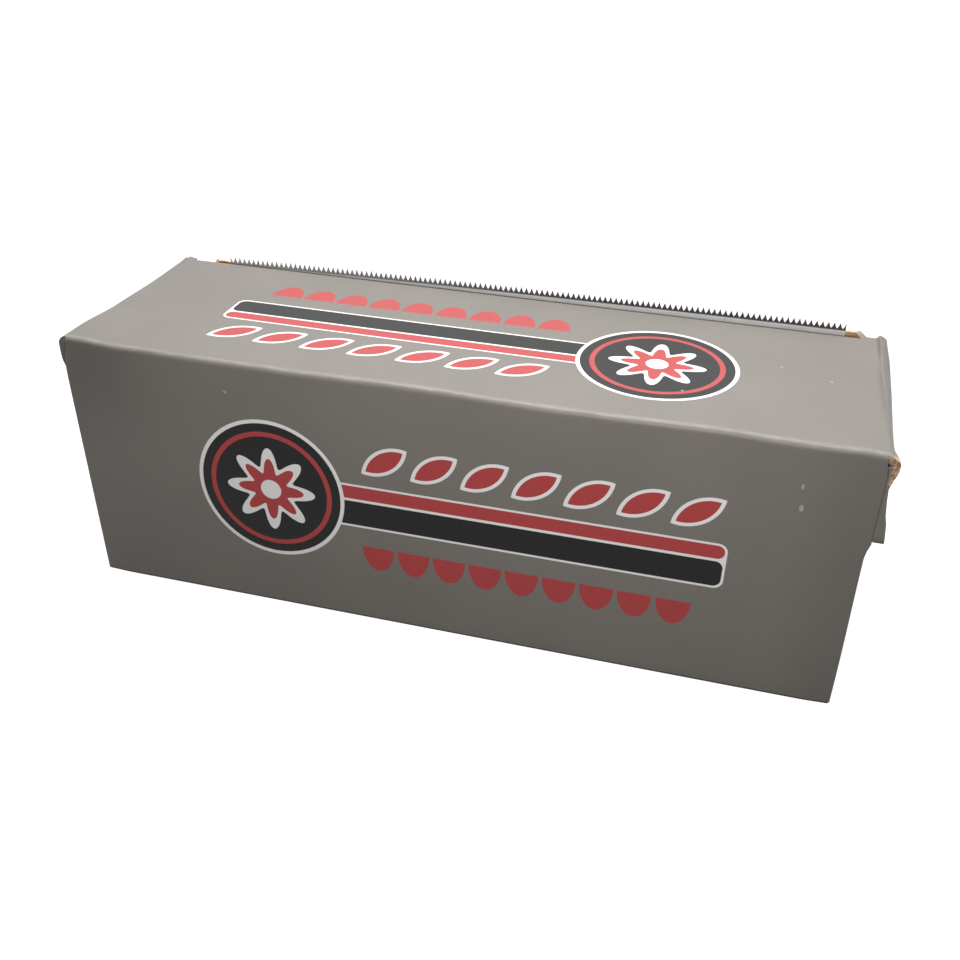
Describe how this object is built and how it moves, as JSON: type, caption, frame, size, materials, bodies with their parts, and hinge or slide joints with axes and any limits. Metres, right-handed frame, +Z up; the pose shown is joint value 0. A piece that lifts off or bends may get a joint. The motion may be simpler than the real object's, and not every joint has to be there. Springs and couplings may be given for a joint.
{
  "type": "boxed aluminium foil roll",
  "caption": "Small dispenser carton holding a roll of aluminium foil on a paper core, with a saw-toothed steel cutting strip on the front wall and a hinged board lid.",
  "frame": {"origin": "middle of the flat face that the carton stands on", "axes": "+X along the roll, +Y from the hinged back wall to the front wall with the saw strip, +Z up"},
  "size_m": [0.1381, 0.0454, 0.0494],
  "materials": {
    "tray_board": "printed warm grey with a dull film outside, bare kraft inside",
    "lid_board": "printed warm grey with a dull film outside, bare kraft inside",
    "strip_steel": "thin rolled steel strip, punched teeth",
    "foil": "bright rolled foil",
    "core_paper": "spirally wound kraft paper"
  },
  "bodies": {
    "tray": {"carton_tray": "tray_board", "cutter_strip": "strip_steel", "foil_roll": "foil", "core_tube": "core_paper"},
    "lid": {"carton_lid": "lid_board"}
  },
  "joints": [
    {"name": "lid_hinge", "type": "hinge", "parent": "tray", "child": "lid", "pos_m": [0, -0.0227, 0.04627], "axis": [1, 0, 0], "range_deg": [0, 180]}
  ]
}
